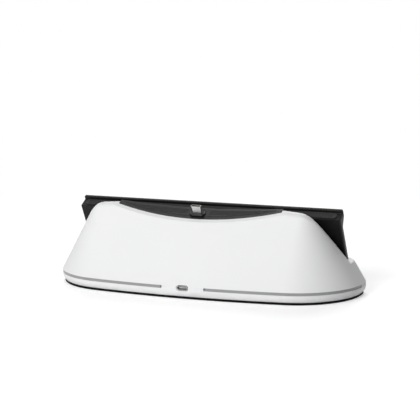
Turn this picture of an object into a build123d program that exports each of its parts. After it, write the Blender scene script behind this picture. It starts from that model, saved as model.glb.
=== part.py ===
from build123d import *
import math
import os

os.makedirs("parts", exist_ok=True)

# Overall size, in millimetres
width = 250.0
depth = 88.6
shoulder_height = 68.5
# Plan of the base at the level of the light strips
rear_bow_radius = 576.0
rear_corner_radius = 53.5
front_corner_radius = 26.0
# How far the white shell draws in on its way up to the shoulders
shoulder_width = 178.0
rear_set_back = 30.0
front_set_back = 15.7
top_bow_radius = 900.0
top_corner_radius = 7.0
shoulder_rounding = 7.0
rim_rounding = 5.5
ledge_rounding = 1.6
least_corner = 1.0
back_corner_share = 0.78
edge_share = 0.9
# Heights above the table
foot_height = 0.3
base_plate_thickness = 1.8
base_plate_reveal = 0.4
base_plate_edge = 0.4
floor_thickness = 2.0
strip_top = 10.0
strip_height = 2.3
ledge_height = 25.5
hollow_overrun = 8.0
# Walls and clearances
shell_wall = 2.4
rim_lip = 3.5
rim_opening = 7.6
tray_wall = 3.0
undercut_radius = 6.0
undercut_drop = 1.36
parting_groove = 0.3
fit_gap = 0.25
thread_gap = 0.05
end_gap = 0.9
# Light strips and the lamps behind them
strip_gap = 36.4
strip_recess = 0.35
strip_depth = 4.7
strip_end_from_rear = 55.0
channel_room = 1.0
led_length = 3.0
led_depth = 1.2
led_height = 2.0
leds_a_side = 10
led_board_thickness = 0.8
led_board_rise = 0.8
# The leaning cradle
lean = 28.0
seat_drop = 3.93
seat_share = 0.448
seat_radius = 627.0
seat_width = 136.0
seat_thickness = 2.6
pad_thickness = 1.2
pad_sink = 0.8
pad_border = 2.2
panel_width = 219.0
panel_standoff = 5.5
panel_thickness = 5.0
panel_drop = 8.5
flange_thickness = 3.0
panel_edge = 0.8
panel_skin = 2.5
pocket_count = 4
pocket_pitch = 40.0
pocket_rib = 6.0
pocket_height = 26.0
pocket_level = -29.0
pocket_corner = 3.0
panel_post_rise = 12.0
shelf_depth = 16.5
shelf_thickness = 3.5
lip_thickness = 2.5
lip_height = 2.5
shelf_pad_thickness = 1.0
shelf_pad_border = 1.2
# Charging plug that stands in the seat
plug_back = 8.5
plug_width = 8.25
plug_thickness = 2.4
plug_reach = 6.65
plug_wall = 0.3
collar_width = 12.4
collar_thickness = 6.0
collar_rise = 1.6
collar_edge = 0.5
core_sink = 0.6
boss_reach = 8.0
boss_diameter = 5.6
carrier_length = 30.0
carrier_width = 10.0
carrier_thickness = 3.0
carrier_corner = 2.0
carrier_screw_spacing = 23.0
plug_board_width = 16.0
plug_board_length = 18.0
plug_board_thickness = 1.0
lead_diameter = 2.6
lead_bend = 8.0
lead_offset = 4.0
# Power inlet and main board
inlet_width = 8.94
inlet_height = 3.26
inlet_length = 7.3
inlet_wall = 0.3
inlet_recess = 0.1
inlet_margin = 0.5
inlet_back = 1.0
tongue_width = 6.69
tongue_thickness = 0.7
tongue_length = 4.45
board_width = 34.0
board_length = 25.0
board_thickness = 1.6
standoff_diameter = 5.0
board_gap = 1.0
board_post_inset = 3.5
board_post_from_rear = 5.0
chip_size = 6.0
chip_height = 1.1
coil_size = 6.5
coil_corner = 1.5
coil_height = 3.0
capacitor_width = 1.3
capacitor_length = 2.0
capacitor_height = 1.2
capacitor_pitch = 2.6
capacitor_offset = 3.0
socket_length = 7.0
socket_width = 4.6
socket_rise = 4.0
socket_offset = 4.0
# Screws and posts
screw_diameter = 3.0
screw_length = 12.0
head_diameter = 5.4
head_height = 1.8
head_room = 0.4
web_thickness = 2.2
post_diameter = 7.5
post_from_wall = 8.0
post_spread = 0.3
rear_post_share = 0.16
panel_post_spread = 0.16
pad_margin = 1.0
screw_spare = 1.0
cross_length = 2.6
cross_width = 0.8
small_screw = 1.9
small_head = 3.6
small_head_height = 1.2
small_screw_depth = 2.6
small_screw_spare = 0.5
# Feet
foot_diameter = 12.0
foot_sink = 0.7
foot_edge = 0.25
rear_foot_spread = 0.395
rear_foot_share = 0.17
front_foot_spread = 0.39
front_foot_share = 0.3

# Levels and edges that follow from the sizes above
half_width = width / 2
rear = depth / 2
front = -depth / 2
plate_top = foot_height + base_plate_thickness
floor_top = plate_top + floor_thickness
strip_bottom = strip_top - strip_height
parting = strip_top - strip_height / 2
ledge_wall = ledge_height - shell_wall
room_top = shoulder_height + hollow_overrun
head_top = plate_top + head_height
pad_top = head_top + web_thickness
strip_end = rear - strip_end_from_rear
lean_sin = math.sin(math.radians(lean))
lean_cos = math.cos(math.radians(lean))
seat_y = rear - seat_share * depth
seat_z = shoulder_height - seat_drop
panel_front = panel_standoff + panel_thickness
shelf_room = shelf_depth - lip_thickness - panel_standoff

# The cradle plane stands on the leaning rim: x is across, y runs up the lean, z points out of the front
cradle = Plane(origin=(0, seat_y, seat_z), x_dir=(1, 0, 0), z_dir=(0, -lean_cos, lean_sin))
# The profile plane is the upright section of the cradle, x forward from the rim and y up the lean
profile = Plane(origin=(0, seat_y, seat_z), x_dir=(0, -lean_cos, lean_sin), z_dir=(-1, 0, 0))
# The plug plane lies in the seat with its z along the charging plug
plug_y = seat_y + plug_back * lean_cos
plug_z = seat_z - plug_back * lean_sin
plug_plane = Plane(origin=(0, plug_y, plug_z), x_dir=(1, 0, 0), z_dir=(0, lean_sin, lean_cos))


def rim_y(z):
    return seat_y - (seat_z - z) * lean_sin / lean_cos


def rising(low, high, z):
    return low + (high - low) * (z - strip_top) / (shoulder_height - strip_top)


# A plan outline with a bowed rear, large rear corners and smaller front ones
def plan(half, back, fore, bow, back_corner, fore_corner):
    drop = bow - math.sqrt(bow**2 - half**2)
    room = back - drop - fore
    back_fillet = min(back_corner, back_corner_share * room, edge_share * half)
    back_reach = bow - math.sqrt((bow - back_fillet) ** 2 - (half - back_fillet) ** 2)
    fore_fillet = min(fore_corner, edge_share * (back - back_reach - fore), edge_share * half)
    with BuildSketch() as outline:
        with BuildLine():
            ThreePointArc((-half, back - drop), (0, back), (half, back - drop))
            Line((half, back - drop), (half, fore))
            Line((half, fore), (-half, fore))
            Line((-half, fore), (-half, back - drop))
        make_face()
        fillet(outline.vertices().group_by(Axis.Y)[-1], back_fillet)
        fillet(outline.vertices().group_by(Axis.Y)[0], fore_fillet)
    return outline.sketch


# The level section of the tapering shell at a height, drawn in by an inset
def section(z, inset):
    half = rising(half_width, shoulder_width / 2, z) - inset
    back = rising(rear, rear - rear_set_back, z) - inset
    fore = rising(front, front + front_set_back, z) + inset
    bow = rising(rear_bow_radius, top_bow_radius, z) - inset
    back_corner = max(rising(rear_corner_radius, top_corner_radius, z) - inset, least_corner)
    fore_corner = max(rising(front_corner_radius, top_corner_radius, z) - inset, least_corner)
    return plan(half, back, fore, bow, back_corner, fore_corner)


# A curved band on the cradle plane that follows the seat, between two levels measured up the lean
def seat_band(high, low):
    rise = seat_radius - math.sqrt(seat_radius**2 - half_width**2)
    with BuildSketch() as band:
        with BuildLine():
            ThreePointArc((-half_width, rise + high), (0, high), (half_width, rise + high))
            Line((half_width, rise + high), (half_width, rise + low))
            ThreePointArc((half_width, rise + low), (0, low), (-half_width, rise + low))
            Line((-half_width, rise + low), (-half_width, rise + high))
        make_face()
    return band.sketch


# The space under the seat on the cradle plane, with a straight lower edge
def below_seat(high, low):
    rise = seat_radius - math.sqrt(seat_radius**2 - half_width**2)
    with BuildSketch() as space:
        with BuildLine():
            ThreePointArc((-half_width, rise + high), (0, high), (half_width, rise + high))
            Line((half_width, rise + high), (half_width, low))
            Line((half_width, low), (-half_width, low))
            Line((-half_width, low), (-half_width, rise + high))
        make_face()
    return space.sketch


# The level of the ledge on the profile plane, where the panel stands
def panel_foot(forward):
    return (ledge_height - seat_z - forward * lean_sin) / lean_cos


# A ring along the outline that runs from the middle of the rear round one rear corner
def strip_band(outer, inner, start, end, side):
    reach = depth - end
    with BuildSketch() as band:
        add(section(strip_top, outer))
        add(section(strip_top, inner), mode=Mode.SUBTRACT)
        with Locations((side * (start + half_width), end + reach / 2)):
            Rectangle(width, reach, mode=Mode.INTERSECT)
    return band.sketch


# The groove that a light strip lies in, with room at its back and its ends
def strip_channel(side):
    back = strip_depth + channel_room
    return strip_band(-channel_room, back, strip_gap / 2 - end_gap, strip_end - end_gap, side)


# The hollow of the white shell, open at the top over the seat and closed under the shoulders
def hollow(inset, gap):
    with BuildPart() as room:
        with BuildSketch(Plane.XY.offset(strip_top)):
            add(section(strip_top, inset))
        with BuildSketch(Plane.XY.offset(room_top)):
            add(section(room_top, inset))
        loft(ruled=True)
        with BuildSketch(Plane.XY.offset(shoulder_height - shell_wall - gap)):
            with Locations((seat_width / 2 - gap + half_width, 0), (-seat_width / 2 + gap - half_width, 0)):
                Rectangle(width, 2 * depth)
        extrude(amount=room_top, mode=Mode.SUBTRACT)
    return room.part


# The room that the silicone inlay takes up in the seat
def pad_room(high, gap):
    with BuildPart() as room:
        add(hollow(shell_wall + fit_gap + pad_border - gap, fit_gap))
        with BuildSketch(cradle.offset(gap - pad_border)):
            add(seat_band(high, -pad_sink))
        extrude(amount=-depth, mode=Mode.INTERSECT)
        with BuildSketch(cradle):
            Rectangle(seat_width - 4 * pad_border + 2 * gap, 4 * depth)
        extrude(amount=-depth, mode=Mode.INTERSECT)
    return room.part


# Everything in front of the leaning rim, or of a plane behind it, and above a given level
def front_side(level, behind):
    ceiling = 2 * room_top
    shift = behind / lean_cos
    with BuildSketch() as side:
        with BuildLine():
            Polyline(
                (rim_y(level) + shift, level),
                (rim_y(ceiling) + shift, ceiling),
                (front - depth, ceiling),
                (front - depth, level),
                close=True,
            )
        make_face()
    return side.sketch


# Places of the lamps along one strip, as x, y and turn
def led_places(side):
    inset = strip_depth + led_depth / 2
    corner_x = half_width - rear_corner_radius
    bow_y = rear - rear_bow_radius
    corner_y = bow_y + math.sqrt((rear_bow_radius - rear_corner_radius) ** 2 - corner_x**2)
    bow = rear_bow_radius - inset
    corner = rear_corner_radius - inset
    first = math.asin((strip_gap / 2 + led_length) / bow)
    change = math.asin(corner_x / (rear_bow_radius - rear_corner_radius))
    last = math.acos(max(-1.0, min(1.0, (strip_end + led_length - corner_y) / corner)))
    bow_run = bow * (change - first)
    run = bow_run + corner * (last - change)
    places = []
    for index in range(leds_a_side):
        along = run * (index + 0.5) / leds_a_side
        turn = first + along / bow
        x = bow * math.sin(turn)
        y = bow_y + bow * math.cos(turn)
        if along > bow_run:
            turn = change + (along - bow_run) / corner
            x = corner_x + corner * math.sin(turn)
            y = corner_y + corner * math.cos(turn)
        places.append((side * x, y, -side * math.degrees(turn)))
    return places


# Where the case screws, board screws and feet stand
shell_posts = [
    (-post_spread * width, rear_post_share * depth),
    (post_spread * width, rear_post_share * depth),
    (-post_spread * width, front + shell_wall + post_from_wall),
    (post_spread * width, front + shell_wall + post_from_wall),
]
panel_post_y = rim_y(ledge_height) + rim_lip / lean_cos + fit_gap + post_diameter / 2
panel_posts = [(-panel_post_spread * width, panel_post_y), (panel_post_spread * width, panel_post_y)]
case_posts = shell_posts + panel_posts
inlet_z = parting
inlet_mouth = rear - inlet_recess
board_top = inlet_z - inlet_height / 2
board_bottom = board_top - board_thickness
board_rear = inlet_mouth - tray_wall - board_gap
board_y = board_rear - board_length / 2
board_post_x = board_width / 2 - board_post_inset
board_posts = [
    (-board_post_x, board_rear - board_length + board_post_inset),
    (board_post_x, board_rear - board_length + board_post_inset),
    (-board_post_x, board_rear - board_post_from_rear),
    (board_post_x, board_rear - board_post_from_rear),
]
feet_places = [
    (-rear_foot_spread * width, rear_foot_share * depth),
    (rear_foot_spread * width, rear_foot_share * depth),
    (-front_foot_spread * width, -front_foot_share * depth),
    (front_foot_spread * width, -front_foot_share * depth),
]
led_board_inset = strip_depth + led_depth
led_board_back = led_board_inset + led_board_thickness
socket_y = board_y - socket_offset
inlet_plane = Plane(origin=(0, inlet_mouth, inlet_z), x_dir=(1, 0, 0), z_dir=(0, 1, 0))
rim_inset = undercut_radius - math.sqrt(undercut_radius**2 - (undercut_radius - undercut_drop) ** 2)
base_plate_inset = rim_inset - base_plate_reveal
carrier_low = -boss_reach - carrier_thickness
lead_low = carrier_low - plug_board_length + lead_offset
lead_start = plug_plane.from_local_coords((0, plug_board_thickness / 2, lead_low))
lead_run = (socket_y - lead_start.Y) / lean_cos
lead_turn = Vector(0, socket_y, lead_start.Z - lead_run * lean_sin)
lead_end = Vector(0, socket_y, board_top + socket_rise)

# The tapering body from the light strips to the shoulders
with BuildPart() as tent:
    with BuildSketch(Plane.XY.offset(strip_top)):
        add(section(strip_top, 0))
    with BuildSketch(Plane.XY.offset(shoulder_height)):
        add(section(shoulder_height, 0))
    loft(ruled=True)
    fillet(tent.faces().sort_by(Axis.Z)[-1].edges(), shoulder_rounding)

# Its rear part, cut off along the leaning rim with a rounded edge and hollowed for the seat
with BuildPart() as wedge:
    add(tent.part)
    with BuildSketch(Plane.YZ):
        add(front_side(0.0, 0.0))
    extrude(amount=width, both=True, mode=Mode.SUBTRACT)
    rim_face = wedge.faces().filter_by(cradle)[0]
    fillet(rim_face.edges().sort_by(Axis.Z)[1:], rim_rounding)
    with BuildSketch(cradle):
        add(seat_band(shoulder_height, 0.0))
    extrude(amount=depth, both=True, mode=Mode.SUBTRACT)

# Its foot, which runs all the way round below the ledge
with BuildPart() as plinth:
    add(tent.part)
    with BuildSketch(Plane.XY.offset(ledge_height)):
        Rectangle(2 * width, 2 * depth)
    extrude(amount=room_top, mode=Mode.SUBTRACT)
    fillet(plinth.faces().sort_by(Axis.Z)[-1].edges(), ledge_rounding)

# Outside of the white upper shell, still solid
with BuildPart() as shell_outside:
    add(wedge.part)
    add(plinth.part)
    with BuildSketch(Plane.XY.offset(parting)):
        add(section(strip_top, 0))
    extrude(amount=strip_top - parting)

# Opening in the rim plane, which the flange of the panel fills
with BuildPart() as rim_window:
    add(hollow(rim_opening, 0.0))
    with BuildSketch(cradle):
        add(below_seat(shoulder_height, panel_foot(0)))
    extrude(amount=-2 * rim_lip, mode=Mode.INTERSECT)

# Opening in the top, which the seat fills right up to the rim plane
with BuildPart() as seat_window:
    add(hollow(shell_wall, 0.0))
    with BuildSketch(cradle):
        with Locations((0, shoulder_height / 2 - seat_thickness - flange_thickness)):
            Rectangle(seat_width, shoulder_height)
    extrude(amount=-depth, mode=Mode.INTERSECT)

# Hollow inside the shell, capped under the front ledge and behind the rim
with BuildPart() as shell_inside:
    add(hollow(shell_wall, 0.0))
    with BuildSketch(Plane.YZ):
        add(front_side(ledge_wall, rim_lip))
    extrude(amount=width, both=True, mode=Mode.SUBTRACT)
    add(rim_window.part)
    add(seat_window.part)
    with BuildSketch(Plane.XY.offset(parting)):
        add(section(strip_top, shell_wall))
    extrude(amount=strip_top - parting)

# Screw posts that grow down from the shell
with BuildPart() as shell_post_stock:
    with BuildSketch(Plane.XY.offset(parting)):
        with Locations(*shell_posts):
            Circle(post_diameter / 2)
    extrude(amount=room_top)
    add(shell_outside.part, mode=Mode.INTERSECT)

# White upper shell
with BuildPart() as upper_shell:
    add(shell_outside.part)
    add(shell_inside.part, mode=Mode.SUBTRACT)
    add(shell_post_stock.part)
    with BuildSketch(Plane.XY.offset(pad_top)):
        with Locations(*shell_posts):
            Circle(post_diameter / 2)
    extrude(amount=parting - pad_top)
    with BuildSketch(Plane.XY.offset(pad_top)):
        with Locations(*shell_posts):
            Circle(screw_diameter / 2 + thread_gap)
    extrude(amount=head_top + screw_length + screw_spare - pad_top, mode=Mode.SUBTRACT)
    with BuildSketch(Plane.XY.offset(parting)):
        add(strip_channel(-1))
        add(strip_channel(1))
    extrude(amount=strip_top - parting, mode=Mode.SUBTRACT)
    with BuildSketch(Plane.XY.offset(parting)):
        add(section(strip_top, -parting_groove))
        add(section(strip_top, parting_groove), mode=Mode.SUBTRACT)
    extrude(amount=parting_groove, mode=Mode.SUBTRACT)
    with BuildSketch(inlet_plane):
        SlotOverall(inlet_width + 2 * inlet_margin, inlet_height + 2 * inlet_margin)
    extrude(amount=inlet_length, both=True, mode=Mode.SUBTRACT)
upper_shell.part.label = "upper_shell"
export_step(upper_shell.part, "parts/upper_shell.step")

# White lower shell, a tray with an undercut rim
with BuildPart() as lower_shell:
    with BuildSketch(Plane.XY.offset(plate_top - undercut_drop)):
        add(section(strip_top, 0))
    extrude(amount=parting - plate_top + undercut_drop)
    fillet(lower_shell.faces().sort_by(Axis.Z)[0].edges(), undercut_radius)
    with BuildSketch(Plane.XY.offset(plate_top - undercut_drop)):
        Rectangle(2 * width, 2 * depth)
    extrude(amount=undercut_drop, mode=Mode.SUBTRACT)
    with BuildSketch(Plane.XY.offset(floor_top)):
        add(section(strip_top, tray_wall))
    extrude(amount=parting - floor_top, mode=Mode.SUBTRACT)
    with BuildSketch(Plane.XY.offset(plate_top)):
        with Locations(*case_posts):
            Circle(post_diameter / 2 + pad_margin)
    extrude(amount=pad_top - plate_top)
    with BuildSketch(Plane.XY.offset(floor_top)):
        with Locations(*board_posts):
            Circle(standoff_diameter / 2)
    extrude(amount=board_bottom - floor_top)
    with BuildSketch(Plane.XY.offset(plate_top)):
        with Locations(*case_posts):
            Circle(head_diameter / 2 + head_room)
    extrude(amount=head_height, mode=Mode.SUBTRACT)
    with BuildSketch(Plane.XY.offset(plate_top)):
        with Locations(*case_posts):
            Circle(screw_diameter / 2 + fit_gap)
    extrude(amount=pad_top - plate_top, mode=Mode.SUBTRACT)
    with BuildSketch(Plane.XY.offset(board_bottom)):
        with Locations(*board_posts):
            Circle(small_screw / 2 + thread_gap)
    extrude(amount=-small_screw_depth, mode=Mode.SUBTRACT)
    with BuildSketch(Plane.XY.offset(strip_bottom)):
        add(strip_channel(-1))
        add(strip_channel(1))
    extrude(amount=parting - strip_bottom, mode=Mode.SUBTRACT)
    with BuildSketch(inlet_plane):
        SlotOverall(inlet_width + 2 * inlet_margin, inlet_height + 2 * inlet_margin)
    extrude(amount=inlet_length, both=True, mode=Mode.SUBTRACT)
lower_shell.part.label = "lower_shell"
export_step(lower_shell.part, "parts/lower_shell.step")

# Black cover under the tray, with room for the screw heads and the feet
with BuildPart() as base_plate:
    with BuildSketch(Plane.XY.offset(foot_height)):
        add(section(strip_top, base_plate_inset))
    extrude(amount=base_plate_thickness)
    chamfer(base_plate.faces().sort_by(Axis.Z)[0].edges(), base_plate_edge)
    with BuildSketch(Plane.XY.offset(foot_height)):
        with Locations(*case_posts):
            Circle(head_diameter / 2 + head_room)
    extrude(amount=base_plate_thickness, mode=Mode.SUBTRACT)
    with BuildSketch(Plane.XY.offset(foot_height)):
        with Locations(*feet_places):
            Circle(foot_diameter / 2)
    extrude(amount=foot_sink, mode=Mode.SUBTRACT)
base_plate.part.label = "base_plate"
export_step(base_plate.part, "parts/base_plate.step")

# Four rubber feet
with BuildPart() as rubber_feet:
    with BuildSketch(Plane.XY):
        with Locations(*feet_places):
            Circle(foot_diameter / 2)
    extrude(amount=foot_height + foot_sink)
    chamfer(rubber_feet.faces().group_by(Axis.Z)[0].edges(), foot_edge)
rubber_feet.part.label = "rubber_feet"
export_step(rubber_feet.part, "parts/rubber_feet.step")

# Flange that fills the opening of the shell behind the rim
with BuildPart() as flange_stock:
    add(hollow(rim_opening + fit_gap, fit_gap))
    with BuildSketch(cradle):
        add(below_seat(-seat_thickness, panel_foot(0) + fit_gap))
    extrude(amount=-flange_thickness, mode=Mode.INTERSECT)

# Neck between the flange and the panel, which leaves a shadow gap beside the rim
with BuildPart() as neck_stock:
    add(hollow(rim_opening + fit_gap, fit_gap))
    with BuildSketch(profile):
        with BuildLine():
            Polyline(
                (0, panel_foot(0)),
                (0, -panel_drop),
                (panel_standoff, -panel_drop),
                (panel_standoff, panel_foot(panel_standoff)),
                close=True,
            )
        make_face()
    extrude(amount=half_width, both=True, mode=Mode.INTERSECT)

# Screw posts of the panel's frame, cut off where they meet the rim plane
with BuildPart() as panel_post_stock:
    with BuildSketch(Plane.XY.offset(pad_top)):
        with Locations(*panel_posts):
            Circle(post_diameter / 2)
    extrude(amount=ledge_height + panel_post_rise - pad_top)
    with BuildSketch(Plane.YZ):
        add(front_side(0.0, 0.0))
    extrude(amount=width, both=True, mode=Mode.SUBTRACT)

# Pockets that lighten the panel and its frame, open to the rear
with BuildPart() as pocket_stock:
    with BuildSketch(cradle.offset(-flange_thickness)):
        with Locations((0, pocket_level)):
            with GridLocations(pocket_pitch, 1, pocket_count, 1):
                RectangleRounded(pocket_pitch - pocket_rib, pocket_height, pocket_corner)
    extrude(amount=flange_thickness + panel_front - panel_skin)

# Black frame that carries the panel: flange, neck and screw posts
with BuildPart() as panel_frame:
    add(flange_stock.part)
    add(neck_stock.part)
    add(panel_post_stock.part)
    add(pocket_stock.part, mode=Mode.SUBTRACT)
    with BuildSketch(Plane.XY.offset(pad_top)):
        with Locations(*panel_posts):
            Circle(screw_diameter / 2 + thread_gap)
    extrude(amount=head_top + screw_length + screw_spare - pad_top, mode=Mode.SUBTRACT)
panel_frame.part.label = "panel_frame"
export_step(panel_frame.part, "parts/panel_frame.step")

# Black front panel with its shelf and lip
with BuildPart() as front_panel:
    with BuildSketch(profile):
        with BuildLine():
            Polyline(
                (panel_standoff, panel_foot(panel_standoff)),
                (panel_standoff, -panel_drop),
                (shelf_depth - lip_thickness, -panel_drop),
                (shelf_depth - lip_thickness, lip_height - panel_drop),
                (shelf_depth, lip_height - panel_drop),
                (shelf_depth, -panel_drop - shelf_thickness),
                (panel_front, -panel_drop - shelf_thickness - shelf_depth + panel_front),
                (panel_front, panel_foot(panel_front)),
                close=True,
            )
        make_face()
    extrude(amount=panel_width / 2, both=True)
    ends = front_panel.faces().filter_by(Axis.X)
    chamfer(ends.edges(), panel_edge)
    add(pocket_stock.part, mode=Mode.SUBTRACT)
front_panel.part.label = "front_panel"
export_step(front_panel.part, "parts/front_panel.step")

# Silicone strip on the shelf
with BuildPart() as shelf_pad:
    with BuildSketch(profile):
        with Locations((panel_standoff + shelf_room / 2, shelf_pad_thickness / 2 - panel_drop)):
            Rectangle(shelf_room - 2 * shelf_pad_border, shelf_pad_thickness)
    extrude(amount=panel_width / 2 - 3 * shelf_pad_border, both=True)
shelf_pad.part.label = "shelf_pad"
export_step(shelf_pad.part, "parts/shelf_pad.step")

# Black saddle seat, which carries the plug underneath
with BuildPart() as saddle:
    add(hollow(shell_wall + fit_gap, fit_gap))
    with BuildSketch(cradle):
        add(seat_band(0.0, -seat_thickness))
    extrude(amount=-depth, mode=Mode.INTERSECT)
    with BuildSketch(cradle):
        Rectangle(seat_width - 2 * fit_gap, 4 * depth)
    extrude(amount=-depth, mode=Mode.INTERSECT)
    with BuildSketch(plug_plane.offset(-boss_reach)):
        with Locations((-carrier_screw_spacing / 2, 0), (carrier_screw_spacing / 2, 0)):
            Circle(boss_diameter / 2)
    extrude(amount=boss_reach - seat_thickness / 2)
    with BuildSketch(plug_plane.offset(-boss_reach)):
        with Locations((-carrier_screw_spacing / 2, 0), (carrier_screw_spacing / 2, 0)):
            Circle(small_screw / 2 + thread_gap)
    extrude(amount=small_screw_depth, mode=Mode.SUBTRACT)
    with BuildSketch(plug_plane.offset(-boss_reach)):
        SlotOverall(collar_width + 2 * fit_gap, collar_thickness + 2 * fit_gap)
    extrude(amount=2 * boss_reach, mode=Mode.SUBTRACT)
    add(pad_room(hollow_overrun, fit_gap / 2), mode=Mode.SUBTRACT)
saddle.part.label = "saddle"
export_step(saddle.part, "parts/saddle.step")

# Silicone inlay on the seat, with a hole for the collar of the plug
with BuildPart() as seat_pad:
    add(pad_room(pad_thickness - pad_sink, 0.0))
    with BuildSketch(plug_plane.offset(-boss_reach)):
        SlotOverall(collar_width + 4 * fit_gap, collar_thickness + 4 * fit_gap)
    extrude(amount=2 * boss_reach, mode=Mode.SUBTRACT)
seat_pad.part.label = "seat_pad"
export_step(seat_pad.part, "parts/seat_pad.step")

# Light strip on the left
with BuildPart() as light_strip_left:
    with BuildSketch(Plane.XY.offset(strip_bottom)):
        add(strip_band(strip_recess, strip_depth, strip_gap / 2, strip_end, -1))
    extrude(amount=strip_height)
light_strip_left.part.label = "light_strip_left"
export_step(light_strip_left.part, "parts/light_strip_left.step")

# Light strip on the right
with BuildPart() as light_strip_right:
    with BuildSketch(Plane.XY.offset(strip_bottom)):
        add(strip_band(strip_recess, strip_depth, strip_gap / 2, strip_end, 1))
    extrude(amount=strip_height)
light_strip_right.part.label = "light_strip_right"
export_step(light_strip_right.part, "parts/light_strip_right.step")

# Lamp board on the left, soldered to the edge of the main board
with BuildPart() as led_board_left:
    with BuildSketch(Plane.XY.offset(floor_top)):
        add(strip_band(led_board_inset, led_board_back, board_width / 2, strip_end, -1))
    extrude(amount=strip_top + led_board_rise - floor_top)
led_board_left.part.label = "led_board_left"
export_step(led_board_left.part, "parts/led_board_left.step")

# Lamp board on the right
with BuildPart() as led_board_right:
    with BuildSketch(Plane.XY.offset(floor_top)):
        add(strip_band(led_board_inset, led_board_back, board_width / 2, strip_end, 1))
    extrude(amount=strip_top + led_board_rise - floor_top)
led_board_right.part.label = "led_board_right"
export_step(led_board_right.part, "parts/led_board_right.step")

# Lamps on the left
with BuildPart() as leds_left:
    with BuildSketch(Plane.XY.offset(parting - led_height / 2)):
        for x, y, turn in led_places(-1):
            with Locations(Location((x, y, 0), (0, 0, turn))):
                Rectangle(led_length, 3 * led_depth)
        add(strip_band(led_board_inset - led_depth, led_board_inset, 0.0, strip_end, -1), mode=Mode.INTERSECT)
    extrude(amount=led_height)
leds_left.part.label = "leds_left"
export_step(leds_left.part, "parts/leds_left.step")

# Lamps on the right
with BuildPart() as leds_right:
    with BuildSketch(Plane.XY.offset(parting - led_height / 2)):
        for x, y, turn in led_places(1):
            with Locations(Location((x, y, 0), (0, 0, turn))):
                Rectangle(led_length, 3 * led_depth)
        add(strip_band(led_board_inset - led_depth, led_board_inset, 0.0, strip_end, 1), mode=Mode.INTERSECT)
    extrude(amount=led_height)
leds_right.part.label = "leds_right"
export_step(leds_right.part, "parts/leds_right.step")

# Main board
with BuildPart() as main_board:
    with BuildSketch(Plane.XY.offset(board_bottom)):
        with Locations((0, board_y)):
            Rectangle(board_width, board_length)
        with Locations(*board_posts):
            Circle(small_screw / 2 + fit_gap, mode=Mode.SUBTRACT)
    extrude(amount=board_thickness)
main_board.part.label = "main_board"
export_step(main_board.part, "parts/main_board.step")

# Chip, coil, capacitors and lead socket on the main board
with BuildPart() as board_parts:
    with BuildSketch(Plane.XY.offset(board_top)):
        with Locations((-board_width / 4, board_y)):
            Rectangle(chip_size, chip_size)
    extrude(amount=chip_height)
    with BuildSketch(Plane.XY.offset(board_top)):
        with Locations((board_width / 4, board_y)):
            RectangleRounded(coil_size, coil_size, coil_corner)
    extrude(amount=coil_height)
    with BuildSketch(Plane.XY.offset(board_top)):
        with Locations((0, board_y + capacitor_offset)):
            with GridLocations(capacitor_pitch, 1, 3, 1):
                Rectangle(capacitor_width, capacitor_length)
    extrude(amount=capacitor_height)
    with BuildSketch(Plane.XY.offset(board_top)):
        with Locations((0, socket_y)):
            Rectangle(socket_length, socket_width)
    extrude(amount=socket_rise)
board_parts.part.label = "board_parts"
export_step(board_parts.part, "parts/board_parts.step")

# Metal shell of the power inlet
with BuildPart() as inlet_shell:
    with BuildSketch(inlet_plane):
        SlotOverall(inlet_width, inlet_height)
    extrude(amount=-inlet_length)
    with BuildSketch(inlet_plane):
        SlotOverall(inlet_width - 2 * inlet_wall, inlet_height - 2 * inlet_wall)
    extrude(amount=inlet_back - inlet_length, mode=Mode.SUBTRACT)
inlet_shell.part.label = "inlet_shell"
export_step(inlet_shell.part, "parts/inlet_shell.step")

# Tongue inside the power inlet
with BuildPart() as inlet_tongue:
    with BuildSketch(inlet_plane.offset(inlet_back - inlet_length)):
        SlotOverall(inlet_width - 2 * inlet_wall, inlet_height - 2 * inlet_wall)
    extrude(amount=inlet_back)
    with BuildSketch(inlet_plane.offset(2 * inlet_back - inlet_length)):
        Rectangle(tongue_width, tongue_thickness)
    extrude(amount=tongue_length - inlet_back)
inlet_tongue.part.label = "inlet_tongue"
export_step(inlet_tongue.part, "parts/inlet_tongue.step")

# Carrier that holds the plug under the seat
with BuildPart() as plug_carrier:
    with BuildSketch(plug_plane.offset(carrier_low)):
        RectangleRounded(carrier_length, carrier_width, carrier_corner)
    extrude(amount=carrier_thickness)
    with BuildSketch(plug_plane.offset(-boss_reach)):
        SlotOverall(collar_width, collar_thickness)
    extrude(amount=boss_reach + collar_rise)
    chamfer(plug_carrier.faces().filter_by(plug_plane).sort_by(Axis.Z)[-1].edges(), collar_edge)
    with BuildSketch(plug_plane.offset(carrier_low)):
        SlotOverall(plug_width, plug_thickness)
    extrude(amount=2 * boss_reach + carrier_thickness, mode=Mode.SUBTRACT)
    with BuildSketch(plug_plane.offset(carrier_low)):
        with Locations((-carrier_screw_spacing / 2, 0), (carrier_screw_spacing / 2, 0)):
            Circle(small_screw / 2 + fit_gap)
    extrude(amount=carrier_thickness, mode=Mode.SUBTRACT)
plug_carrier.part.label = "plug_carrier"
export_step(plug_carrier.part, "parts/plug_carrier.step")

# Metal shell of the charging plug
with BuildPart() as plug_shell:
    with BuildSketch(plug_plane.offset(carrier_low)):
        SlotOverall(plug_width, plug_thickness)
        SlotOverall(plug_width - 2 * plug_wall, plug_thickness - 2 * plug_wall, mode=Mode.SUBTRACT)
    extrude(amount=collar_rise + plug_reach - carrier_low)
plug_shell.part.label = "plug_shell"
export_step(plug_shell.part, "parts/plug_shell.step")

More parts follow.
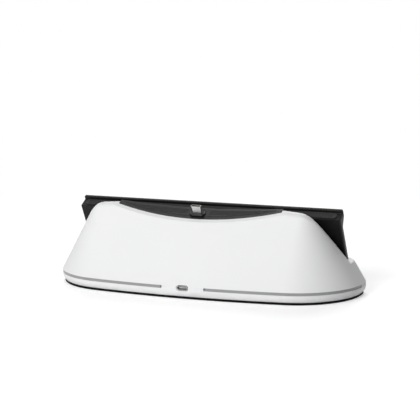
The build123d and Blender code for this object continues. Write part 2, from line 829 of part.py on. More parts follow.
# Insulating core inside the plug, with the slot for the tongue
with BuildPart() as plug_core:
    with BuildSketch(plug_plane.offset(carrier_low)):
        SlotOverall(plug_width - 2 * plug_wall, plug_thickness - 2 * plug_wall)
    extrude(amount=collar_rise + plug_reach - core_sink - carrier_low)
    with BuildSketch(plug_plane.offset(collar_rise)):
        SlotOverall(tongue_width, tongue_thickness + fit_gap)
    extrude(amount=plug_reach, mode=Mode.SUBTRACT)
plug_core.part.label = "plug_core"
export_step(plug_core.part, "parts/plug_core.step")

# Small board under the plug
with BuildPart() as plug_board:
    with BuildSketch(plug_plane.offset(carrier_low - plug_board_length)):
        Rectangle(plug_board_width, plug_board_thickness)
    extrude(amount=plug_board_length)
plug_board.part.label = "plug_board"
export_step(plug_board.part, "parts/plug_board.step")

# Lead from the board of the plug down to the main board
with BuildPart() as plug_lead:
    with BuildLine() as lead_route:
        FilletPolyline(lead_start, lead_turn, lead_end, radius=lead_bend)
    with BuildSketch(Plane(origin=lead_start, z_dir=(0, lean_cos, -lean_sin))):
        Circle(lead_diameter / 2)
    sweep()
plug_lead.part.label = "plug_lead"
export_step(plug_lead.part, "parts/plug_lead.step")

# Case screws from below, into the posts of the shell and the panel
with BuildPart() as case_screws:
    with BuildSketch(Plane.XY.offset(plate_top)):
        with Locations(*case_posts):
            Circle(head_diameter / 2)
    extrude(amount=head_height)
    with BuildSketch(Plane.XY.offset(head_top)):
        with Locations(*case_posts):
            Circle(screw_diameter / 2)
    extrude(amount=screw_length)
    with BuildSketch(Plane.XY.offset(plate_top)):
        with Locations(*case_posts):
            Rectangle(cross_length, cross_width)
            Rectangle(cross_width, cross_length)
    extrude(amount=head_height / 2, mode=Mode.SUBTRACT)
case_screws.part.label = "case_screws"
export_step(case_screws.part, "parts/case_screws.step")

# Screws of the main board
with BuildPart() as board_screws:
    with BuildSketch(Plane.XY.offset(board_top)):
        with Locations(*board_posts):
            Circle(small_head / 2)
    extrude(amount=small_head_height)
    with BuildSketch(Plane.XY.offset(board_top)):
        with Locations(*board_posts):
            Circle(small_screw / 2)
    extrude(amount=small_screw_spare - board_thickness - small_screw_depth)
board_screws.part.label = "board_screws"
export_step(board_screws.part, "parts/board_screws.step")

# Screws of the plug carrier
with BuildPart() as carrier_screws:
    with BuildSketch(plug_plane.offset(carrier_low)):
        with Locations((-carrier_screw_spacing / 2, 0), (carrier_screw_spacing / 2, 0)):
            Circle(small_head / 2)
    extrude(amount=-small_head_height)
    with BuildSketch(plug_plane.offset(carrier_low)):
        with Locations((-carrier_screw_spacing / 2, 0), (carrier_screw_spacing / 2, 0)):
            Circle(small_screw / 2)
    extrude(amount=carrier_thickness + small_screw_depth - small_screw_spare)
carrier_screws.part.label = "carrier_screws"
export_step(carrier_screws.part, "parts/carrier_screws.step")
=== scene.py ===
# %% [markdown]
# The dock is a wide white stand with a black leaning front panel. This lesson dresses its solid
# parts: it loads them as a fixed frame, sets up the camera, gives every part a finish, models the
# small pieces that only the eye needs, and lights them. All lengths are in metres, in the frame of
# the solids.

# %% Load the solid parts
import math

import bmesh
import bpy
from mathutils import Matrix, Vector


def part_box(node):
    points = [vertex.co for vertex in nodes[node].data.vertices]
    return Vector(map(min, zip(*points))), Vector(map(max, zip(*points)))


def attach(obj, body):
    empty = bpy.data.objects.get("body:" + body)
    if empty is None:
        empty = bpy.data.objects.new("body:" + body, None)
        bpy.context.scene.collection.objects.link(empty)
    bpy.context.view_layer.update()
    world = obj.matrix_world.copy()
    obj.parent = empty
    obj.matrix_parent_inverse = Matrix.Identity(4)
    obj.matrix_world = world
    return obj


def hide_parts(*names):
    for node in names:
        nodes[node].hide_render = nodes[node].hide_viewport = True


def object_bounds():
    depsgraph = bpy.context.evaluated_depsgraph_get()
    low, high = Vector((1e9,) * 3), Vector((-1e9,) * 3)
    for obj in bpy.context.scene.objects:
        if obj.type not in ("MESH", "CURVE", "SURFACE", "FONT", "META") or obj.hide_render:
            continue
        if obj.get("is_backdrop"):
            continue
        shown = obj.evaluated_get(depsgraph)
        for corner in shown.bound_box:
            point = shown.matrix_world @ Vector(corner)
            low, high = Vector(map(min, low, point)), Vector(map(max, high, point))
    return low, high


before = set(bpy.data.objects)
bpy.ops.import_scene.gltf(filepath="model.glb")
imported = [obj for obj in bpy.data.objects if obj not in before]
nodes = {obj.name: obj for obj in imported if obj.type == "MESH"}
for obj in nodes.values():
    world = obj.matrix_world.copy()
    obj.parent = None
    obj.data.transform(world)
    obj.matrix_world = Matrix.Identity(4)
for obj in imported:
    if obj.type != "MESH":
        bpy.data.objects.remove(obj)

solid_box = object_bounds()


def show_box(title, box):
    print(title, [tuple(round(value, 4) for value in corner) for corner in box])


print("parts:", len(nodes))
show_box("solid box:", solid_box)

# %% [markdown]
# The camera stands behind the dock, a little above it and to one side, with a long lens. Its place
# and turn could be found by eye, but a few known edges of the dock give them more exactly: the
# heading and the dip aim the lens, and a small roll levels the picture.

# %% Camera
camera_place = Vector((-0.46723, 1.12666, 0.25931))
camera_heading = math.radians(22.3)
camera_dip = math.radians(9.18)
camera_roll = -0.007
camera_lens = 136.03
camera_sensor = 36.0


def camera_turn(heading, dip, roll):
    aim = Vector((
        math.sin(heading) * math.cos(dip), -math.cos(heading) * math.cos(dip), -math.sin(dip)))
    level = Vector((-math.cos(heading), -math.sin(heading), 0))
    crown = level.cross(aim)
    right = level * math.cos(roll) + crown * math.sin(roll)
    up = crown * math.cos(roll) - level * math.sin(roll)
    return Matrix((right, up, -aim)).transposed()


lens = bpy.data.cameras.new("camera")
lens.lens = camera_lens
lens.sensor_width = camera_sensor
camera = bpy.data.objects.new("camera", lens)
bpy.context.scene.collection.objects.link(camera)
camera.location = camera_place
camera.rotation_euler = camera_turn(camera_heading, camera_dip, camera_roll).to_euler()
bpy.context.scene.camera = camera
bpy.context.scene.view_settings.view_transform = "Standard"
print("camera at", tuple(camera.location))

# %% [markdown]
# A finish is a tree of shader nodes. Wiring it by hand takes many lines, so one small class wraps
# a socket: sums on it add Math nodes, and one method adds any other node. Every pattern starts from
# Object coordinates, which here are the dock's own metres, so a grain has its real size.

# %% A socket that can be used in sums
class Wire:
    def __init__(self, tree, socket):
        self.tree = tree
        self.socket = socket

    def node(self, kind, settings=None, inputs=None, output=0):
        made = self.tree.nodes.new(kind)
        for name, value in (settings or {}).items():
            setattr(made, name, value)
        for name, value in (inputs or {}).items():
            if isinstance(value, Wire):
                self.tree.links.new(value.socket, made.inputs[name])
            else:
                made.inputs[name].default_value = value
        return Wire(self.tree, made.outputs[output])

    def maths(self, operation, first, second):
        return self.node("ShaderNodeMath", {"operation": operation}, {0: first, 1: second})

    def __add__(self, other):
        return self.maths("ADD", self, other)

    def __radd__(self, other):
        return self.maths("ADD", other, self)

    def __mul__(self, other):
        return self.maths("MULTIPLY", self, other)

    def __rmul__(self, other):
        return self.maths("MULTIPLY", other, self)

    def between(self, low, high):
        settings = {"data_type": "RGBA"}
        return self.node("ShaderNodeMix", settings, {0: self, 6: low, 7: high}, output=2)

    def noise(self, size, detail=2.0):
        inputs = {"Vector": self, "Scale": 1.0 / size, "Detail": detail}
        return self.node("ShaderNodeTexNoise", {}, inputs)

    def bump(self, strength, height):
        inputs = {"Strength": strength, "Distance": height, "Height": self}
        return self.node("ShaderNodeBump", {}, inputs)

    def feed(self, shader, socket):
        self.tree.links.new(self.socket, shader.inputs[socket])


print("wire class ready")

# %% [markdown]
# Every finish begins the same way: a new material, its shader with the values that are the same all
# over the surface, and the Object coordinates. A grey may be a little warm or, below zero, cool.

# %% Start of a finish
def start_finish(name, **constants):
    material = bpy.data.materials.new(name)
    material.use_nodes = True
    tree = material.node_tree
    shader = tree.nodes["Principled BSDF"]
    for socket, value in constants.items():
        shader.inputs[socket.replace("_", " ")].default_value = value
    place = tree.nodes.new("ShaderNodeTexCoord")
    return material, shader, Wire(tree, place.outputs["Object"])


def grey(level, warm=0.0):
    return (level * (1 + warm), level, level * (1 - warm), 1.0)


print("middle grey:", grey(0.18))

# %% [markdown]
# The white housing is moulded plastic with a fine even grain from the mould. A single white would
# look like paper, so the tone drifts by a percent over some centimetres, the gloss breaks up over
# millimetres, and a bump of a few hundredths of a millimetre gives the grain.

# %% White moulded plastic
white_tone = 0.86
white_drift = 0.012
white_tint = -0.004
white_drift_size = 0.045
white_patch_size = 0.006
white_grain_size = 0.00055
white_grain_height = 0.00006


def white_plastic():
    material, shader, place = start_finish("white_plastic", IOR=1.48, Specular_IOR_Level=0.15)
    drift = place.noise(white_drift_size, detail=3.0)
    darker = grey(white_tone - white_drift, white_tint)
    lighter = grey(white_tone + white_drift, white_tint)
    drift.between(darker, lighter).feed(shader, "Base Color")
    patches = place.noise(white_patch_size, detail=4.0)
    (0.4 + 0.12 * patches).feed(shader, "Roughness")
    grain = place.noise(white_grain_size)
    grain.bump(0.22, white_grain_height).feed(shader, "Normal")
    return material


white = white_plastic()
print("made", white.name)

# %% [markdown]
# The black parts are the same kind of plastic, dyed right through, with a spark-eroded grain that
# spreads the light: a noise and a pattern of cells, added together. The gloss drifts slowly, as on
# handled plastic. The cover under the dock is duller, and the tongue in the inlet is pale grey.

# %% Black moulded plastic
black_drift_size = 0.03
black_patch_size = 0.012
black_grain_size = 0.0004
black_cells_a_metre = 2400.0
black_grain_height = 0.00009


def grained_plastic(name, tone, roughness, shine):
    material, shader, place = start_finish(name, IOR=1.47, Specular_IOR_Level=shine)
    drift = place.noise(black_drift_size, detail=3.0)
    drift.between(grey(tone * 0.8), grey(tone * 1.3)).feed(shader, "Base Color")
    patches = place.noise(black_patch_size, detail=5.0)
    (roughness + 0.2 * patches).feed(shader, "Roughness")
    grain = place.noise(black_grain_size, detail=3.0)
    cells = place.node("ShaderNodeTexVoronoi", {}, {"Vector": place, "Scale": black_cells_a_metre})
    (0.6 * grain + 0.4 * cells).bump(0.5, black_grain_height).feed(shader, "Normal")
    return material


black = grained_plastic("black_plastic", tone=0.007, roughness=0.3, shine=0.2)
dull_black = grained_plastic("dull_black_plastic", tone=0.004, roughness=0.5, shine=0.06)
tongue_grey = grained_plastic("tongue_plastic", tone=0.55, roughness=0.4, shine=0.2)
print("made", black.name, dull_black.name, tongue_grey.name)

# %% [markdown]
# Silicone and rubber are the soft darks: matt, a little lighter than the plastic, with a fine skin.
# High roughness does most of it, and a fine noise keeps it from looking flat.

# %% Silicone and rubber
soft_drift_size = 0.02
soft_grain_height = 0.00008


def soft_dark(name, tone, grain_size):
    material, shader, place = start_finish(name, IOR=1.41)
    drift = place.noise(soft_drift_size, detail=3.0)
    drift.between(grey(tone * 0.8), grey(tone * 1.25)).feed(shader, "Base Color")
    specks = place.noise(grain_size * 2, detail=4.0)
    (0.68 + 0.2 * specks).feed(shader, "Roughness")
    place.noise(grain_size, detail=3.0).bump(0.3, soft_grain_height).feed(shader, "Normal")
    return material


silicone = soft_dark("silicone", tone=0.022, grain_size=0.0005)
rubber = soft_dark("rubber", tone=0.017, grain_size=0.0009)
print("made", silicone.name, "and", rubber.name)

# %% [markdown]
# The light strips are milky diffusers and show unlit, so they read as a band of mid grey. A
# soft cloud of two close greys keeps the band from looking painted, and a low roughness gives it the
# sheen of a moulded lens.

# %% Milky diffuser
milk_dark = grey(0.29, -0.005)
milk_light = grey(0.34, -0.005)
milk_cloud_size = 0.012
milk_patch_size = 0.004
milk_grain_size = 0.0008
milk_grain_height = 0.00004


def milky_diffuser():
    material, shader, place = start_finish("diffuser", IOR=1.49, Specular_IOR_Level=0.35)
    cloud = place.noise(milk_cloud_size, detail=3.0)
    cloud.between(milk_dark, milk_light).feed(shader, "Base Color")
    (0.28 + 0.1 * place.noise(milk_patch_size, detail=3.0)).feed(shader, "Roughness")
    place.noise(milk_grain_size).bump(0.1, milk_grain_height).feed(shader, "Normal")
    return material


diffuser = milky_diffuser()
print("made", diffuser.name)

# %% [markdown]
# Steel and gold are bare metal: their colour is their reflection. Fine scratches run one way, so the
# noise is stretched by a Mapping node before it drives the roughness and a faint bump. A slow tarnish
# darkens the metal in places.

# %% Steel and gold
draw_stretch = (1.0, 0.08, 1.0)
scratch_size = 0.0003
scratch_height = 0.00001
tarnish_size = 0.004
tarnish_share = 0.82


def bare_metal(name, colour, roughness):
    material, shader, place = start_finish(name, Metallic=1.0)
    drawn = place.node("ShaderNodeMapping", {}, {"Vector": place, "Scale": draw_stretch})
    scratches = drawn.noise(scratch_size, detail=4.0)
    (roughness + 0.08 * scratches).feed(shader, "Roughness")
    tarnish = place.noise(tarnish_size, detail=3.0)
    dark = tuple(tarnish_share * part for part in colour[:3]) + (1.0,)
    tarnish.between(dark, colour).feed(shader, "Base Color")
    scratches.bump(0.03, scratch_height).feed(shader, "Normal")
    return material


steel = bare_metal("steel", (0.7, 0.7, 0.69, 1.0), roughness=0.2)
gold = bare_metal("gold", (0.83, 0.62, 0.27, 1.0), roughness=0.18)
print("made", steel.name, "and", gold.name)

# %% [markdown]
# Inside are circuit boards, dark chip bodies and the pale lamps. They hardly show, but a finish of
# their own keeps the meshes useful when the housing is taken apart. The boards of the lamps are black,
# because their ends can be seen through the narrow gap beside each diffuser.

# %% Boards, chips and lamps
tracks_a_metre = 260.0
track_height = 0.00003
board_patch_size = 0.003
lamp_cloud_size = 0.002
lamp_dark = (0.62, 0.58, 0.42, 1.0)
lamp_light = (0.74, 0.72, 0.6, 1.0)


def circuit_board(name, mask, raised):
    material, shader, place = start_finish(name, IOR=1.5)
    tracks = place.node("ShaderNodeTexBrick", {}, {"Vector": place, "Scale": tracks_a_metre})
    copper = tracks.node("ShaderNodeSeparateColor", {}, {"Color": tracks})
    copper.between(mask, raised).feed(shader, "Base Color")
    (0.3 + 0.15 * place.noise(board_patch_size, detail=3.0)).feed(shader, "Roughness")
    copper.bump(0.2, track_height).feed(shader, "Normal")
    return material


def lamp_body():
    material, shader, place = start_finish("lamp", IOR=1.5)
    cloud = place.noise(lamp_cloud_size)
    cloud.between(lamp_dark, lamp_light).feed(shader, "Base Color")
    (0.25 + 0.1 * cloud).feed(shader, "Roughness")
    return material


green_board = circuit_board("green_board", (0.012, 0.09, 0.04, 1.0), (0.02, 0.14, 0.06, 1.0))
black_board = circuit_board("black_board", grey(0.008), grey(0.016))
lamp = lamp_body()
chip = soft_dark("chip_plastic", tone=0.012, grain_size=0.0003)
print("made", green_board.name, black_board.name, lamp.name, chip.name)

# %% [markdown]
# Every solid part now gets its finish. The parts keep their shape and place, and only their
# material slots change.

# %% Dress the solid parts
finishes = {
    white: ["upper_shell", "lower_shell"],
    black: ["front_panel", "panel_frame", "saddle", "plug_carrier", "plug_core"],
    tongue_grey: ["inlet_tongue"],
    dull_black: ["base_plate"],
    silicone: ["seat_pad", "shelf_pad"],
    rubber: ["rubber_feet", "plug_lead"],
    diffuser: ["light_strip_left", "light_strip_right"],
    green_board: ["main_board", "plug_board"],
    black_board: ["led_board_left", "led_board_right"],
    lamp: ["leds_left", "leds_right"],
    chip: ["board_parts"],
    steel: ["inlet_shell", "plug_shell", "case_screws", "board_screws", "carrier_screws"],
}
for material, names in finishes.items():
    for name in names:
        mesh = nodes[name].data
        mesh.materials.clear()
        mesh.materials.append(material)
print("dressed", sum(len(names) for names in finishes.values()), "parts")

# %% [markdown]
# The soft and golden details are modelled by hand. Each is shaped in edit mode, and the tools there
# work on what is selected, so two helpers select faces or edges by where they lie and which way they
# point.

# %% Helpers that select
def pick_faces(piece, test):
    bpy.ops.mesh.select_mode(type="FACE")
    bpy.ops.mesh.select_all(action="DESELECT")
    mesh = bmesh.from_edit_mesh(piece.data)
    for face in mesh.faces:
        face.select_set(bool(test(face.calc_center_median(), face.normal)))
    bmesh.update_edit_mesh(piece.data)
    return sum(face.select for face in mesh.faces)


def pick_edges(piece, test):
    bpy.ops.mesh.select_mode(type="EDGE")
    bpy.ops.mesh.select_all(action="DESELECT")
    mesh = bmesh.from_edit_mesh(piece.data)
    for edge in mesh.edges:
        first, second = (corner.co for corner in edge.verts)
        edge.select_set(bool(test((first + second) / 2, (second - first).normalized())))
    bmesh.update_edit_mesh(piece.data)
    return sum(edge.select for edge in mesh.edges)


def make_active(piece):
    bpy.ops.object.select_all(action="DESELECT")
    piece.select_set(True)
    bpy.context.view_layer.objects.active = piece


print("helpers that select are ready")

# %% [markdown]
# A piece begins as a primitive whose place is put into its mesh, so that its object stays at the
# origin. It ends with smooth shading, a finish, and the body that it rides on. What repeats is copied,
# each copy with a mesh of its own.

# %% Helpers that begin, copy and end a piece
def begin_piece(name):
    piece = bpy.context.object
    piece.name = name
    piece.data.name = name
    bpy.ops.object.transform_apply(location=True, rotation=True, scale=True)
    return piece


def copy_piece(original, name):
    piece = bpy.data.objects.new(name, original.data.copy())
    piece.data.name = name
    bpy.context.scene.collection.objects.link(piece)
    return piece


def smooth(piece, angle):
    make_active(piece)
    bpy.ops.object.shade_smooth_by_angle(angle=math.radians(angle))


def place_piece(piece, material):
    piece.data.materials.clear()
    piece.data.materials.append(material)
    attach(piece, "root")
    return len(piece.data.polygons)


print("helpers for pieces are ready")

# %% [markdown]
# The dock stands on four round rubber feet, let into the black cover. A plain disc would do for the
# eye from above, but a real foot has rings moulded into its sole for grip. So a disc is started from a
# cylinder, and insets with small moves up and down cut three rings into its lower face.

# %% One rubber foot with a ringed sole
foot_radius = 0.006
foot_height = 0.001
sole_step = 0.0009
sole_rings = 3
ring_depth = 0.0003
ring_wall = 0.0001
ring_width = 0.0005
sole_edge_radius = 0.00025
bpy.ops.object.select_all(action="DESELECT")
bpy.ops.mesh.primitive_cylinder_add(
    vertices=72, radius=foot_radius, depth=foot_height, location=(0, 0, foot_height / 2))
foot = begin_piece("foot_1")
bpy.ops.object.mode_set(mode="EDIT")
soles = pick_faces(foot, lambda middle, normal: normal.z < -0.9)
for ring in range(sole_rings):
    bpy.ops.mesh.inset(thickness=sole_step)
    bpy.ops.mesh.inset(thickness=ring_wall)
    bpy.ops.transform.translate(value=(0, 0, ring_depth))
    bpy.ops.mesh.inset(thickness=ring_width)
    bpy.ops.mesh.inset(thickness=ring_wall)
    bpy.ops.transform.translate(value=(0, 0, -ring_depth))


def on_sole_edge(middle, along):
    outside = math.hypot(middle.x, middle.y) > 0.99 * foot_radius
    return outside and abs(along.z) < 0.1 and middle.z < foot_height / 4


sole_edges = pick_edges(foot, on_sole_edge)
bpy.ops.mesh.bevel(offset=sole_edge_radius, segments=3)
bpy.ops.object.mode_set(mode="OBJECT")
smooth(foot, angle=40.0)
print("sole faces", soles, "sole edges", sole_edges, "faces", len(foot.data.polygons))

# %% [markdown]
# All four feet are alike, so three copies of the first one follow, each with its own mesh, and then
# each is moved to its own place under the dock. The front pair stands a little closer together.

# %% Four feet in place
rear_foot = (0.09875, 0.015062)
front_foot = (0.0975, -0.02658)
foot_places = [(side * across, back) for across, back in (rear_foot, front_foot) for side in (-1, 1)]
feet = [foot] + [copy_piece(foot, f"foot_{number}") for number in (2, 3, 4)]
for piece, (across, back) in zip(feet, foot_places):
    piece.data.transform(Matrix.Translation((across, back, 0)))
    place_piece(piece, rubber)
    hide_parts("rubber_feet")
print("feet", len(feet))

# %% [markdown]
# A strip of silicone lies along the shelf as a soft grip. It has round ends and long ribs. The strip
# starts as a flat block on the level, a bevel rounds its ends, and bisect cuts it into lanes along its
# length and sets off a margin at each end.

# %% Lanes of the strip on the shelf
grip_length = 0.2118
grip_width = 0.0061
grip_height = 0.001
grip_end_radius = 0.0026
rib_margin = 0.003
lanes = 9
bpy.ops.object.select_all(action="DESELECT")
bpy.ops.mesh.primitive_cube_add(size=1.0, scale=(grip_length, grip_width, grip_height))
grip = begin_piece("shelf_grip")
bpy.ops.object.mode_set(mode="EDIT")
ends = pick_edges(grip, lambda middle, along: abs(along.z) > 0.9)
bpy.ops.mesh.bevel(offset=grip_end_radius, segments=8)
for lane in range(1, lanes):
    cut = grip_width * (lane / lanes - 0.5)
    bpy.ops.mesh.select_all(action="SELECT")
    bpy.ops.mesh.bisect(plane_co=(0, cut, 0), plane_no=(0, 1, 0))
for end in (-1, 1):
    bpy.ops.mesh.select_all(action="SELECT")
    bpy.ops.mesh.bisect(plane_co=(end * (grip_length / 2 - rib_margin), 0, 0), plane_no=(1, 0, 0))
print("end edges", ends, "lanes", lanes)

# %% [markdown]
# Every second lane is pushed down, and the lanes between them are the ribs. A Bevel modifier takes the
# sharpness off their edges. At the end the strip is turned to lie on the shelf, which leans back with
# the panel: the rim is where the panel's plane starts, and up and forward run along that plane and
# out of it.

# %% Ribs of the strip, and its place on the shelf
groove_depth = 0.00035
rib_edge_radius = 0.00012
lean = math.radians(28.0)
up_lean = Vector((0, math.sin(lean), math.cos(lean)))
forward = Vector((0, -math.cos(lean), math.sin(lean)))
rim_point = Vector((0, 0.0046072, 0.06457))
grip_forward = 0.00975
grip_drop = 0.008


def in_groove(middle, normal):
    lane = int((middle.y / grip_width + 0.5) * lanes)
    return normal.z > 0.9 and lane % 2 == 1 and abs(middle.x) < grip_length / 2 - rib_margin


grooves = pick_faces(grip, in_groove)
bpy.ops.mesh.extrude_region_move(TRANSFORM_OT_translate={"value": (0, 0, -groove_depth)})
bpy.ops.object.mode_set(mode="OBJECT")
bevel = grip.modifiers.new("soft_edges", "BEVEL")
bevel.width = rib_edge_radius
bevel.segments = 2
bevel.limit_method = "ANGLE"
bevel.angle_limit = math.radians(35.0)
make_active(grip)
bpy.ops.object.modifier_apply(modifier=bevel.name)
smooth(grip, angle=40.0)
grip_middle = rim_point + forward * grip_forward - up_lean * grip_drop
grip.data.transform(Matrix.Translation(grip_middle) @ Matrix.Rotation(-lean, 4, "X"))
faces = place_piece(grip, silicone)
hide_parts("shelf_pad")
print("grooves", grooves, "faces", faces)

# %% [markdown]
# Some pieces follow a solid part closely, so it is quickest to start from a copy of its mesh. The copy
# is a heap of loose triangles with fixed normals: clearing those, merging the corners and a limited
# dissolve turn it into clean faces that the tools can work on. The copy is left in edit mode.

# %% Clean copy of a solid part
same_corner = 0.000001
flat_angle = math.radians(0.3)


def clean_copy(node_name, name):
    piece = copy_piece(nodes[node_name], name)
    make_active(piece)
    loose = len(piece.data.vertices)
    bpy.ops.mesh.customdata_custom_splitnormals_clear()
    bpy.ops.object.mode_set(mode="EDIT")
    bpy.ops.mesh.select_all(action="SELECT")
    bpy.ops.mesh.remove_doubles(threshold=same_corner)
    bpy.ops.mesh.dissolve_limited(angle_limit=flat_angle)
    print(name, "corners", loose, "->", len(bmesh.from_edit_mesh(piece.data).verts))
    return piece


print("clean copies are ready")

# %% [markdown]
# A moulded edge is never quite sharp: a radius of half a millimetre catches a fine line of light and
# shows the form of the black panel, its shelf and its lip. The sharp edges are selected by their angle,
# the pockets at the back are left out by their place, and a bevel rounds the rest.

# %% Front panel with soft edges
panel_edge_radius = 0.0005
panel_edge_angle = math.radians(20.0)
pocket_reach = 0.09
long_edge = 0.1
panel = clean_copy("front_panel", "soft_panel")
bpy.ops.mesh.select_mode(type="EDGE")
bpy.ops.mesh.select_all(action="DESELECT")
bpy.ops.mesh.edges_select_sharp(sharpness=panel_edge_angle)
mesh = bmesh.from_edit_mesh(panel.data)
for edge in mesh.edges:
    middle = (edge.verts[0].co + edge.verts[1].co) / 2
    if abs(middle.x) < pocket_reach and edge.calc_length() < long_edge:
        edge.select_set(False)
bmesh.update_edit_mesh(panel.data)
rounded = sum(edge.select for edge in mesh.edges)
bpy.ops.mesh.bevel(offset=panel_edge_radius, segments=3, clamp_overlap=True)
bpy.ops.object.mode_set(mode="OBJECT")
smooth(panel, angle=30.0)
faces = place_piece(panel, black)
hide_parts("front_panel")
print("rounded edges", rounded, "faces", faces)

# %% [markdown]
# The hollow of the housing comes up so close behind the rim that it leaves a slit on each shoulder, and
# a small notch beside each end of the seat. Thin webs close them. They start from a copy of the housing,
# cut where the seat ends: the sharp outer edges round the openings are kept, and all others deleted.

# %% Edges round the openings in the rim
seat_end = 0.068
opening_edge_angle = math.radians(100.0)
slit_box = (Vector((0.0755, 0.0088, 0.0654)), Vector((0.0827, 0.0100, 0.06615)))
notch_box = (Vector((0.0679, 0.0096, 0.0656)), Vector((0.0708, 0.0108, 0.06615)))
openings = [(side, *box) for box in (slit_box, notch_box) for side in (-1, 1)]
web = clean_copy("upper_shell", "rim_web")
for side in (-1, 1):
    bpy.ops.mesh.select_all(action="SELECT")
    bpy.ops.mesh.bisect(plane_co=(side * seat_end, 0, 0), plane_no=(1, 0, 0))


def round_opening(middle, side, low, high):
    place = (side * middle.x, middle.y, middle.z)
    return all(least < value < most for least, value, most in zip(low, place, high))


bpy.ops.mesh.select_mode(type="EDGE")
bpy.ops.mesh.select_all(action="DESELECT")
bpy.ops.mesh.edges_select_sharp(sharpness=opening_edge_angle)
mesh = bmesh.from_edit_mesh(web.data)
for edge in mesh.edges:
    middle = (edge.verts[0].co + edge.verts[1].co) / 2
    if not (edge.is_convex and any(round_opening(middle, *opening) for opening in openings)):
        edge.select_set(False)
bmesh.update_edit_mesh(web.data)
bpy.ops.mesh.select_all(action="INVERT")
bpy.ops.mesh.delete(type="EDGE")
print("edges left", len(bmesh.from_edit_mesh(web.data).edges))

# %% [markdown]
# The edges of each opening are picked in turn and a face is made between them. An extrusion down into
# the hollow gives the faces a thickness, so the webs end flush with the rim.

# %% Webs in the rim
web_height = 0.0003
for opening in openings:
    pick_edges(web, lambda middle, along: round_opening(middle, *opening))
    bpy.ops.mesh.edge_face_add()
bpy.ops.mesh.select_all(action="SELECT")
bpy.ops.mesh.extrude_region_move(TRANSFORM_OT_translate={"value": (0, 0, -web_height)})
bpy.ops.mesh.select_all(action="SELECT")
bpy.ops.mesh.normals_make_consistent(inside=False)
bpy.ops.object.mode_set(mode="OBJECT")
smooth(web, angle=30.0)
faces = place_piece(web, white)
print("webs", len(openings), "faces", faces)

# %% [markdown]
# The curved seat has an inlay of the same silicone as the shelf, with an opening round the plug. Its
# outline follows the inside of the housing, so it too starts from a copy of the solid part. Grooves
# along the seat let dust and drops run off. Each is a lane between two bisect cuts that run along the
# seat, and more cuts across it end the lanes.

# %% Lanes of the seat inlay
lane_width = 0.0006
lane_starts = {0.0033: 0.057, 0.0047: 0.05, 0.0061: 0.042, 0.0075: 0.032}
seat_lanes = [(start, start + lane_width, reach) for start, reach in lane_starts.items()]
plug_clear = 0.009
inlay = clean_copy("seat_pad", "seat_inlay")
for start, end, reach in seat_lanes:
    for back in (start, end):
        bpy.ops.mesh.select_all(action="SELECT")
        bpy.ops.mesh.bisect(plane_co=rim_point - forward * back, plane_no=forward)
for across in (plug_clear, *lane_starts.values()):
    for side in (-1, 1):
        bpy.ops.mesh.select_all(action="SELECT")
        bpy.ops.mesh.bisect(plane_co=(side * across, 0, 0), plane_no=(1, 0, 0))
print("lanes", len(seat_lanes))

# %% [markdown]
# The floor of each lane is pushed in by a quarter of a millimetre, and that is the groove.

# %% Grooves in the seat inlay
seat_groove_depth = 0.00025


def in_seat_lane(middle, normal):
    back = (rim_point - middle).dot(forward)
    for start, end, reach in seat_lanes:
        if start < back < end and plug_clear < abs(middle.x) < reach:
            return normal.dot(up_lean) > 0.9
    return False


lowered = pick_faces(inlay, in_seat_lane)
bpy.ops.mesh.extrude_region_move(TRANSFORM_OT_translate={"value": up_lean * -seat_groove_depth})
bpy.ops.object.mode_set(mode="OBJECT")
smooth(inlay, angle=30.0)
faces = place_piece(inlay, silicone)
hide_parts("seat_pad")
print("lowered", lowered, "faces", faces)

# %% [markdown]
# In the mouth of the power inlet, a tongue carries two rows of gilded contacts. One contact is a thin
# strip with a rounded nose. An Array modifier repeats it at the pitch of the row, and the row is then
# centred.

# %% One row of contacts
contact_width = 0.00028
contact_length = 0.0028
contact_height = 0.00008
nose_radius = 0.00006
side_radius = 0.00004
contact_pitch = 0.0005
contacts_a_row = 12
bpy.ops.object.select_all(action="DESELECT")
bpy.ops.mesh.primitive_cube_add(size=1.0, scale=(contact_width, contact_length, contact_height))
row = begin_piece("inlet_contacts_top")
bpy.ops.object.mode_set(mode="EDIT")
noses = pick_edges(row, lambda middle, along: abs(along.x) > 0.9 and middle.z > 0 and middle.y > 0)
bpy.ops.mesh.bevel(offset=nose_radius, segments=3)
sides = pick_edges(row, lambda middle, along: abs(along.y) > 0.9 and middle.z > 0)
bpy.ops.mesh.bevel(offset=side_radius, segments=2)
bpy.ops.object.mode_set(mode="OBJECT")
repeat = row.modifiers.new("row", "ARRAY")
repeat.count = contacts_a_row
repeat.use_relative_offset = False
repeat.use_constant_offset = True
repeat.constant_offset_displace = (contact_pitch, 0, 0)
make_active(row)
bpy.ops.object.modifier_apply(modifier=repeat.name)
row.data.transform(Matrix.Translation((-contact_pitch * (contacts_a_row - 1) / 2, 0, 0)))
smooth(row, angle=40.0)
print("noses", noses, "sides", sides, "faces", len(row.data.polygons))

# %% [markdown]
# The rows lie on both faces of the tongue, and two more stand inside the slot of the charging plug,
# facing each other. All four come from the same mesh: a copy is turned and then moved.

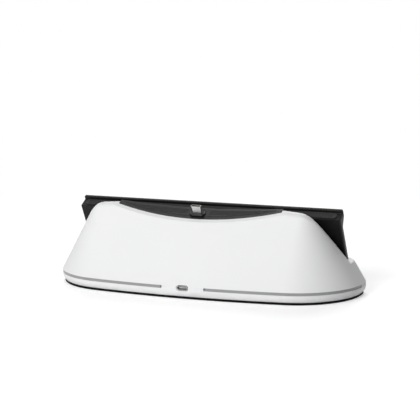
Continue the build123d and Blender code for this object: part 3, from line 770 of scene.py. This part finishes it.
# %% Contacts in the inlet and in the plug
tongue_low, tongue_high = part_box("inlet_tongue")
tongue_set_back = 0.0018
tongue_half = 0.00035
tongue_middle = Vector((0, tongue_high[1] - tongue_set_back, (tongue_low[2] + tongue_high[2]) / 2))
plug_back = 0.0085
plug_root = 0.0016
plug_height = 0.00665
plug_set_back = 0.0026
slot_half = 0.000475
plug_mouth = rim_point - forward * plug_back + up_lean * (plug_root + plug_height)
slot_middle = plug_mouth - up_lean * plug_set_back
half_turn = Matrix.Rotation(math.pi, 4, "Y")
plug_turn = Matrix.Rotation(-lean, 4, "X") @ Matrix.Rotation(math.pi / 2, 4, "X")
rows = {
    "inlet_contacts_low": Matrix.Translation(tongue_middle - Vector((0, 0, tongue_half))) @ half_turn,
    "plug_contacts_front": Matrix.Translation(slot_middle + forward * slot_half) @ plug_turn,
    "plug_contacts_back": Matrix.Translation(slot_middle - forward * slot_half) @ plug_turn @ half_turn,
}
for name, turn in rows.items():
    twin = copy_piece(row, name)
    twin.data.transform(turn)
    place_piece(twin, gold)
row.data.transform(Matrix.Translation(tongue_middle + Vector((0, 0, tongue_half))))
place_piece(row, gold)
print("rows of contacts", len(rows) + 1)

# %% [markdown]
# The studio is one large pale floor under soft lamps. The floor also has to be the white background,
# so to the camera, and in reflections, it shines a little on top of its own colour near the dock,
# where the shadow still shows, and fades to plain white further out.

# %% Floor
floor_size = 30.0
shadow_reach = 0.2
white_reach = 0.55
bpy.ops.object.select_all(action="DESELECT")
bpy.ops.mesh.primitive_plane_add(size=floor_size, location=(0, 0, 0))
floor = bpy.context.object
floor.name = "floor"
floor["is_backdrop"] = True


def seen_directly(place):
    paths = [place.node("ShaderNodeLightPath", output=name)
             for name in ("Is Camera Ray", "Is Glossy Ray", "Is Transmission Ray")]
    return paths[0] + paths[1] + paths[2]


def studio_floor(tone, lift):
    material, shader, place = start_finish("studio_floor", Roughness=0.9)
    shader.inputs["Base Color"].default_value = grey(tone)
    tree = material.node_tree
    plain = Wire(tree, shader.outputs[0])
    glow = place.node("ShaderNodeEmission", {}, {"Color": grey(1.0), "Strength": lift})
    near = place.node("ShaderNodeAddShader", {}, {0: plain, 1: glow})
    beyond = place.node("ShaderNodeEmission", {}, {"Color": grey(1.0), "Strength": 1.0})
    distance = place.node("ShaderNodeVectorMath", {"operation": "LENGTH"}, {0: place}, output="Value")
    fade = {"Value": distance, "From Min": shadow_reach, "From Max": white_reach}
    far = place.node("ShaderNodeMapRange", {}, fade)
    shown = place.node("ShaderNodeMixShader", {}, {0: far, 1: near, 2: beyond})
    mixed = place.node("ShaderNodeMixShader", {}, {0: seen_directly(place), 1: plain, 2: shown})
    mixed.feed(tree.nodes["Material Output"], "Surface")
    return material


floor.data.materials.append(studio_floor(tone=0.86, lift=0.42))
print("floor", floor_size, "m wide")

# %% [markdown]
# A soft box hangs above and to the left of the camera, so the rear slope is the brightest face and
# the side wall on the right falls into soft shade. A second, larger one lights the front, and the sky
# adds the rest. The sky is dim as a light, but plain white to the camera and in reflections.

# %% Lamps and sky
dock_middle = Vector((0.0, 0.0, 0.035))


def soft_box(name, direction, distance, size, level):
    lamp_data = bpy.data.lights.new(name, "AREA")
    lamp_data.shape = "SQUARE"
    lamp_data.size = size
    lamp_data.energy = level * math.pi**2 * distance**2
    holder = bpy.data.objects.new(name, lamp_data)
    bpy.context.scene.collection.objects.link(holder)
    out = Vector(direction).normalized()
    holder.location = dock_middle + out * distance
    holder.rotation_euler = out.to_track_quat("Z", "Y").to_euler()


def studio_sky(level):
    world = bpy.data.worlds.new("studio_sky")
    bpy.context.scene.world = world
    world.use_nodes = True
    tree = world.node_tree
    background = tree.nodes["Background"]
    background.inputs["Color"].default_value = grey(1.0)
    seen = seen_directly(Wire(tree, background.outputs[0]))
    (level + (1.0 - level) * seen).feed(background, "Strength")


soft_box("key_box", direction=(0.14, 0.89, 0.43), distance=1.6, size=0.8, level=0.775)
soft_box("front_fill", direction=(0.2, -0.8, 0.6), distance=1.8, size=1.2, level=0.63)
studio_sky(0.11)
print("lamps", len(bpy.data.lights), "and a sky")

# %% [markdown]
# The last step prints the box of the dressed dock, to set beside the box of the bare solids printed at
# the start, because the looks should not change the size.

# %% Sizes and end
dressed_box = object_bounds()
show_box("dressed box:", dressed_box)
